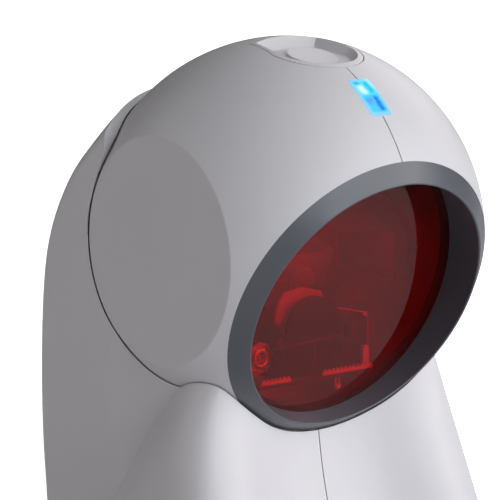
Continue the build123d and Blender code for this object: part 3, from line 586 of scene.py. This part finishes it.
def make_glow_standin_plate(finishes):
    """A pale plate on a leg behind the arch, which shows to its left: painted light, standing in for the glow
    behind the arch.
    """
    plate = [
        (-7.2, 21.2), (-9.2, 18.5), (-10.2, 14.5), (-6.6, 9.5),
        (5.0, 9.5), (7.6, 15.0), (4.8, 20.4), (-1.5, 22.0),
    ]
    behind = deck(0, 4.0, 0)
    glow_plate = bmesh.new()
    add_upright(glow_plate, plate, behind, 0.8)
    add_upright(glow_plate, box_outline(-6.6, -5.8, 0, 13.0), behind, 0.8)
    # The pale plate is painted light: a sheet put where there is only glow behind the arch.
    make_piece("glow_standin_plate", glow_plate, "shell", "head", finishes, 0.08)


LEAD_ASIDE = 0.6
LEAD_LONG = 2.2


def make_hanging_lamp(finishes):
    """A small lamp that hangs under the deck on two leads."""
    under = deck(8.2, 1.6, -1.6)
    lamp = bmesh.new()
    for over in (-LEAD_ASIDE, LEAD_ASIDE):
        start = under + ACROSS * over * MM
        add_tube(lamp, [start - LEVEL * drop * MM for drop in (0, LEAD_LONG / 2, LEAD_LONG)], 0.2)
    add_lathe(lamp, [(0.01, -3.6), (0.6, -3.4), (0.95, -2.8), (1.0, -2.1), (0.01, -2.0)], under, LEVEL, 20)
    make_piece("hanging_lamp", lamp, "bush_plastic", "head", finishes, 0)


def make_detector_trim(finishes):
    """A bright edge over the photodetector's board, and a lead from its end down to the post."""
    low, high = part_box("photodetector_board")
    wide = (high.x - low.x) / MM
    corner = Vector((low.x, high.y - 1.3 * MM, high.z))
    trim = bmesh.new()
    add_upright(trim, [(-0.2, -0.1), (wide, -2.9), (wide, -2.55), (-0.2, 0.2)], corner, 0.5)
    add_upright(trim, box_outline(wide - 1.2, wide + 0.2, -3.5, -2.7), corner, 0.6)
    lead_top = corner + ACROSS * wide * MM - LEVEL * 3.2 * MM
    lead_foot = deck(18.0, 1.6, 5.2)
    slack = ACROSS * 0.5 * MM
    add_tube(trim, [lead_top, lead_top.lerp(lead_foot, 0.5) + slack, lead_foot], 0.12, 6)
    make_piece("detector_trim", trim, "bush_plastic", "head", finishes, 0.05)


POLES = 6
POLE_AWAY = 5.7
COIL_R = 1.85
COIL_LONG = 2.1
COIL_TURNS = 4
STEPS_A_TURN = 14
WIRE_R = 0.24


def make_stator_windings(finishes):
    """A copper coil round each of the stator's poles."""
    windings = bmesh.new()
    last = COIL_TURNS * STEPS_A_TURN
    for pole in spokes(ACROSS, UPWARD, POLES):
        hub = ROTOR + pole * POLE_AWAY * MM - OUTWARD * 2.5 * MM
        path = []
        for i in range(last + 1):
            turn = 2 * pi * i / STEPS_A_TURN
            rise = COIL_LONG * i / last
            path.append(hub + (ACROSS * cos(turn) + UPWARD * sin(turn)) * COIL_R * MM + OUTWARD * rise * MM)
        add_tube(windings, path, WIRE_R, 7)
    make_piece("stator_windings", windings, "brass", "head", finishes, 0)


LASER_R = 4


def make_laser_ring(finishes):
    """A lens ring screwed into the laser's nose."""
    low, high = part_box("laser_module")
    nose = Vector(((low.x + high.x) / 2, low.y, high.z - LASER_R * MM))
    profile = [(1.35, -1.2), (1.35, 0.5), (1.7, 0.7), (2.5, 0.7), (2.8, 0.4), (2.8, 0.0), (1.4, -0.1)]
    ring = bmesh.new()
    add_lathe(ring, profile, nose, -INWARD, 36)
    make_piece("laser_ring", ring, "brass", "head", finishes, 0)


CHIP_ROWS = [
    # height up the board in millimetres, chips in the row; the short rows stop at larger parts
    (-18.0, 5),
    (-4.2, 5),
    (5.8, 9),
    (23.0, 9),
]
CHIP_PITCH = 3.6
CHIP_FIRST = -15.5


def make_chip_parts(finishes):
    """Chip resistors and capacitors in rows on the main board's back; every third one is taller."""
    board = frame["nodes"]["main_board"].data.vertices
    face = min((vert.co - CENTRE).dot(OUTWARD) for vert in board) / MM
    parts = bmesh.new()
    for row, (v, count) in enumerate(CHIP_ROWS):
        for i in range(count):
            x = CHIP_FIRST + CHIP_PITCH * i + 0.5 * (row % 2)
            outline = box_outline(x - 0.5, x + 0.5, v - 0.9, v + 0.9)
            add_slab(parts, outline, ACROSS, UPWARD, optics(0, 0, face), -0.6 if i % 3 else -1.0)
    make_piece("chip_parts", parts, "chip", "head", finishes, 0.08)


def make_blank_label(finishes):
    """A blank label with rounded corners under the base."""
    plate_low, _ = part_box("base_plate")
    label = bmesh.new()
    start = Vector((0, 0, plate_low.z - 0.15 * MM))
    add_slab(label, rounded_outline(-19.0, 19.0, -34.0, -10.0, 2.0), ACROSS, INWARD, start, 0.2)
    make_piece("blank_label", label, "shell", "stand", finishes, 0.04)


def foot_middles():
    """The middle of each rubber foot's face, found from the quarter of the base that the foot stands in."""
    low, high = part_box("rubber_feet")
    halfway = (low.y + high.y) / 2
    corners = [vert.co for vert in frame["nodes"]["rubber_feet"].data.vertices]
    middles = []
    for right, back in ((1, -1), (-1, -1), (1, 1), (-1, 1)):
        foot = [co for co in corners if co.x * right > 0 and (co.y - halfway) * back > 0]
        x, y = [(min(co[axis] for co in foot) + max(co[axis] for co in foot)) / 2 for axis in (0, 1)]
        middles.append(Vector((x, y, low.z)))
    return middles


def make_foot_treads(finishes):
    """Three tread rings in the face of each rubber foot."""
    treads = bmesh.new()
    for middle in foot_middles():
        for radius in (1.6, 3.2, 4.8):
            profile = [(radius - 0.3, 0.02), (radius + 0.3, 0.02), (radius + 0.2, 0.2), (radius - 0.2, 0.2)]
            add_lathe(treads, profile, middle, LEVEL, 40)
    make_piece("foot_treads", treads, "rubber", "stand", finishes, 0)


# ---------------------------------------------------------------- studio

# Powers in watts: the two lamps in front, the two that fill from the right, the two behind on the left, and the
# weak ones overhead and below.
KEY = 13.5
FILL = 5.5
RIM = 3.0
WEAK = 1.2
LAMPS = [
    # turn from the front and rise in degrees, power, colour
    (0, 20, KEY, (0.97, 1.0, 1.05)),
    (40, 10, KEY, (1.03, 1.0, 0.99)),
    (40, 45, FILL, (1.0, 1.0, 1.02)),
    (80, 60, WEAK, (1.0, 1.0, 0.95)),
    (120, 30, FILL, (1.05, 1.0, 1.03)),
    (-110, 20, RIM, (1.15, 1.0, 0.9)),
    (-150, 30, RIM, (0.9, 1.0, 1.1)),
    (0, -88, WEAK, (1.0, 1.0, 1.0)),
]
# The lamps' distance from the middle of the ball and their width, in metres.
LAMP_AWAY = 1.6
LAMP_WIDTH = 1.0


def make_lamps():
    """Soft boxes all round, strongest from the front right, with a weak one below."""
    for number, (turn, rise, power, colour) in enumerate(LAMPS):
        data = bpy.data.lights.new(f"soft_box_{number}", "AREA")
        data.size = LAMP_WIDTH
        data.energy = power
        data.color = colour
        lamp = bpy.data.objects.new(data.name, data)
        back = direction(radians(turn), radians(rise))
        lamp.location = CENTRE + LAMP_AWAY * back
        lamp.rotation_euler = back.to_track_quat("Z", "Y").to_euler()
        bpy.context.scene.collection.objects.link(lamp)


WORLD_FILL = 0.03


def make_world():
    """White surroundings, which light the part more gently than they look."""
    world = bpy.data.worlds.new("studio")
    world.use_nodes = True
    nodes = world.node_tree.nodes
    links = world.node_tree.links
    seen = nodes["Background"]
    seen.inputs["Color"].default_value = (1, 1, 1, 1)
    seen.inputs["Strength"].default_value = 1.0
    fill = nodes.new("ShaderNodeBackground")
    fill.inputs["Color"].default_value = (1, 0.985, 0.99, 1)
    fill.inputs["Strength"].default_value = WORLD_FILL
    path = nodes.new("ShaderNodeLightPath")
    mix = nodes.new("ShaderNodeMixShader")
    links.new(path.outputs["Is Camera Ray"], mix.inputs["Fac"])
    links.new(fill.outputs["Background"], mix.inputs[1])
    links.new(seen.outputs["Background"], mix.inputs[2])
    links.new(mix.outputs["Shader"], nodes["World Output"].inputs["Surface"])
    bpy.context.scene.world = world


FLOOR_REACH = 4.0
FLOOR_DROP = 0.02
# Metres from the middle, and how bright the floor looks there.
FLOOR_NEAR = (0.22, 0.72)
FLOOR_FAR = (0.9, 1.02)


def make_floor():
    """Plain pale floor, a hair under the feet, white further off, and clear from below to eye and lamp."""
    corners = [(x * FLOOR_REACH, y * FLOOR_REACH, -FLOOR_DROP * MM) for x, y in box_outline(-1, 1, -1, 1)]
    mesh = bpy.data.meshes.new("floor")
    mesh.from_pydata(corners, [], [(0, 1, 2, 3)])
    floor = bpy.data.objects.new("floor", mesh)
    bpy.context.scene.collection.objects.link(floor)
    s = Shader("floor")
    s.set(Emission_Color=(1.0, 1.0, 1.0))
    s.tint((0.86, 0.86, 0.87), 3, 0.01)
    s.rough(8, 0.7, 0.8)
    (near, near_glow), (far, far_glow) = FLOOR_NEAR, FLOOR_FAR
    glow = s.ranged(s.away_from(Vector((0, 0, 0))), near_glow, far_glow, near, far)
    path = s.add("ShaderNodeLightPath")
    s.link(s.math("MULTIPLY", path.outputs["Is Camera Ray"], glow), s.surface.inputs["Emission Strength"])
    below = s.add("ShaderNodeNewGeometry").outputs["Backfacing"]
    s.clear_where(s.math("MAXIMUM", below, path.outputs["Is Shadow Ray"]))
    mesh.materials.append(s.material)


# ---------------------------------------------------------------- making

bpy.context.scene.view_settings.view_transform = "Standard"
make_camera()
make_lamps()
make_world()
make_floor()
finishes = make_finishes()
dress_nodes(finishes)
make_arch_ribs(finishes)
make_deck_rails(finishes)
make_deck_post(finishes)
make_glow_standin_plate(finishes)
make_hanging_lamp(finishes)
make_detector_trim(finishes)
make_stator_windings(finishes)
make_laser_ring(finishes)
make_chip_parts(finishes)
make_blank_label(finishes)
make_foot_treads(finishes)
